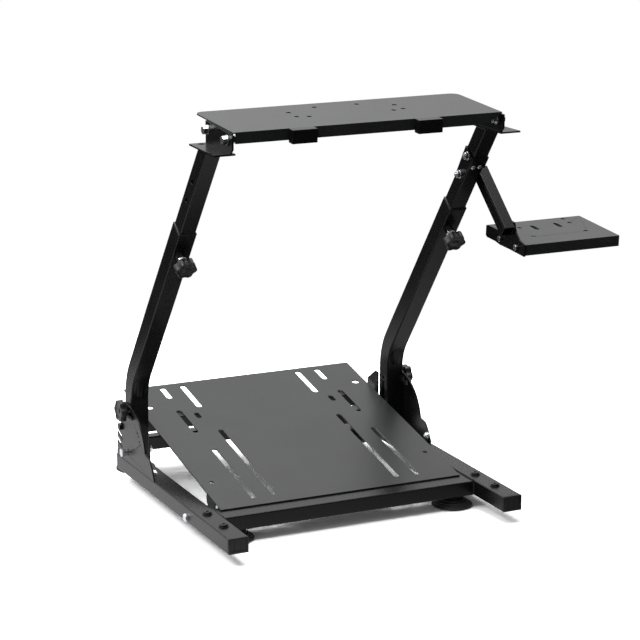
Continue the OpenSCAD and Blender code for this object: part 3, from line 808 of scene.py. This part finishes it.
# thin plastic bushes in the sleeves' mouths round the upper tubes
sleeveBush = {
    "out": 33.0,
    "bore": 30.15,
    "boreLength": 50,
    "rise": 1.6,
    "deep": 6.0,
    "bevel": 0.8,
}
for sideName, side in sides.items():
    bush = makeBlock((0, 0, (sleeveBush["rise"] - sleeveBush["deep"]) / 2 * mm),
                     (sleeveBush["out"] * mm, sleeveBush["out"] * mm,
                      (sleeveBush["rise"] + sleeveBush["deep"]) * mm))
    roundEdges(bush, sleeveBush["bevel"])
    bore = makeBlock((0, 0, 0), (sleeveBush["bore"] * mm, sleeveBush["bore"] * mm,
                                 sleeveBush["boreLength"] * mm))
    joinWith(bush, bore, "DIFFERENCE")
    placeMesh(bush, tubeFrame(side, tube["sleeveEnd"]))
    finishPiece(bush, "sleeveBush_" + sideName, mouldedPolypropylene, "uprights")
print("bends and bushes made")

# the camera stands where the photograph was taken from
cameraView = {
    "fromStandZero": (-1790.865, -3586.485, 1393.572),
    "tilt": 75.86,
    "turn": -25.05,
    "lens": 135.36,
    "sensor": 36,
    "clipEnd": 60,
}
bpy.ops.object.select_all(action="DESELECT")
bpy.ops.object.camera_add(location=standPoint(*cameraView["fromStandZero"]),
                          rotation=(math.radians(cameraView["tilt"]), 0,
                                    math.radians(cameraView["turn"])))
camera = bpy.context.object
camera.name = "viewCamera"
camera.data.lens = cameraView["lens"]
camera.data.sensor_width = cameraView["sensor"]
camera.data.clip_end = cameraView["clipEnd"]
bpy.context.scene.camera = camera

lamps = {
    "windowSoft": {"place": (-2.8, -0.2, 3.0), "size": 1.6, "power": 70},
    "rimStrip": {"place": (-1.0, 2.8, 2.8), "size": 1.0, "power": 25},
    "topSoft": {"place": (0.2, 0.3, 3.4), "size": 2.6, "power": 130},
}
lampAim = Vector((0, 0, 0.35))
for name, lamp in lamps.items():
    away = Vector(lamp["place"]) - lampAim
    turn = away.to_track_quat("Z", "Y").to_euler()
    bpy.ops.object.light_add(type="AREA", location=lamp["place"], rotation=turn)
    light = bpy.context.object
    light.name = name
    light.data.size = lamp["size"]
    light.data.energy = lamp["power"]

# the room as the steel sees it: pale overhead, behind and to the left, dim in front;
# the lamps do most of the lighting, so matt surfaces get only a share of the room
roomLight = {
    "pale": (-0.42, 0.42, 0.80),
    "dimFrom": -0.25,
    "brightFrom": 0.65,
    "dim": 0.05,
    "bright": 1.25,
    "mattShare": 0.25,
}
world = bpy.data.worlds.new("studioWorld")
world.use_nodes = True
bpy.context.scene.world = world
tree = world.node_tree
tree.nodes.clear()
path = addNode(tree, "ShaderNodeLightPath")
coords = addNode(tree, "ShaderNodeTexCoord")
toward = addNode(tree, "ShaderNodeVectorMath", {"operation": "DOT_PRODUCT", 1: roomLight["pale"]},
                 {0: coords.outputs["Generated"]})
level = addNode(tree, "ShaderNodeMapRange",
                {"From Min": roomLight["dimFrom"], "From Max": roomLight["brightFrom"],
                 "To Min": roomLight["dim"], "To Max": roomLight["bright"]},
                {"Value": toward.outputs["Value"]})
share = addNode(tree, "ShaderNodeMapRange", {"To Min": 1.0, "To Max": roomLight["mattShare"]},
                {"Value": path.outputs["Is Diffuse Ray"]})
strength = addNode(tree, "ShaderNodeMath", {"operation": "MULTIPLY"},
                   {0: level.outputs["Result"], 1: share.outputs["Result"]})
lit = addNode(tree, "ShaderNodeBackground", {"Color": white}, {"Strength": strength.outputs[0]})
shown = addNode(tree, "ShaderNodeBackground", {"Color": white, "Strength": 1.0})
mixed = addNode(tree, "ShaderNodeMixShader", links={0: path.outputs["Is Camera Ray"],
                                                    1: lit.outputs[0], 2: shown.outputs[0]})
addNode(tree, "ShaderNodeOutputWorld", links={"Surface": mixed.outputs[0]})

# a white paper floor, plain white away from the stand's own shadow; mirrored in the
# steel it is a painted reflection, an emission that falls off away from the stand
floorSheet = {
    "size": 40.0,
    "height": -0.0005,
    "middle": (-0.35, 0.25, 0.0),
    "paper": 2.0,
    "matt": "#e6e6e6",
    "glowFrom": 0.4,
    "glowTo": 1.0,
    "nearGlow": 1.3,
    "farGlow": 0.04,
    "plainFrom": 0.8,
    "plainTo": 1.3,
}
bpy.ops.mesh.primitive_plane_add(size=floorSheet["size"], location=(0, 0, floorSheet["height"]))
floor = bpy.context.object
floor.name = "studioFloor"
paper, tree = newMaterial("white_paper_floor")
path = addNode(tree, "ShaderNodeLightPath")
place = addNode(tree, "ShaderNodeNewGeometry")
distance = addNode(tree, "ShaderNodeVectorMath",
                   {"operation": "DISTANCE", 1: floorSheet["middle"]},
                   {0: place.outputs["Position"]})
# painted reflection: in the steel's reflections the floor glows, brightest near the stand and
# nearly dark far off, with no shadow in it
glow = addNode(tree, "ShaderNodeMapRange",
               {"From Min": floorSheet["glowFrom"], "From Max": floorSheet["glowTo"],
                "To Min": floorSheet["nearGlow"], "To Max": floorSheet["farGlow"]},
               {"Value": distance.outputs["Value"]})
bright = addNode(tree, "ShaderNodeEmission", {"Color": white},
                 {"Strength": glow.outputs["Result"]})
matt = addNode(tree, "ShaderNodeBsdfDiffuse", {"Color": linearColour(floorSheet["matt"])})
whitePaper = addNode(tree, "ShaderNodeBsdfDiffuse", {"Color": (*[floorSheet["paper"]] * 3, 1)})
blank = addNode(tree, "ShaderNodeEmission", {"Color": white, "Strength": 1.0})
blankShare = addNode(tree, "ShaderNodeMapRange",
                     {"From Min": floorSheet["plainFrom"], "From Max": floorSheet["plainTo"]},
                     {"Value": distance.outputs["Value"]})
seenPaper = addNode(tree, "ShaderNodeMixShader", links={0: blankShare.outputs["Result"],
                                                        1: whitePaper.outputs[0],
                                                        2: blank.outputs[0]})
# glossy rays see the painted reflection glow, other rays see the matt floor
mirrored = addNode(tree, "ShaderNodeMixShader", links={0: path.outputs["Is Glossy Ray"],
                                                       1: matt.outputs[0], 2: bright.outputs[0]})
mixed = addNode(tree, "ShaderNodeMixShader", links={0: path.outputs["Is Camera Ray"],
                                                    1: mirrored.outputs[0],
                                                    2: seenPaper.outputs[0]})
addNode(tree, "ShaderNodeOutputMaterial", links={"Surface": mixed.outputs[0]})
floor.data.materials.append(paper)
bpy.context.scene.view_settings.view_transform = "Standard"
print("camera, lamps and floor placed")
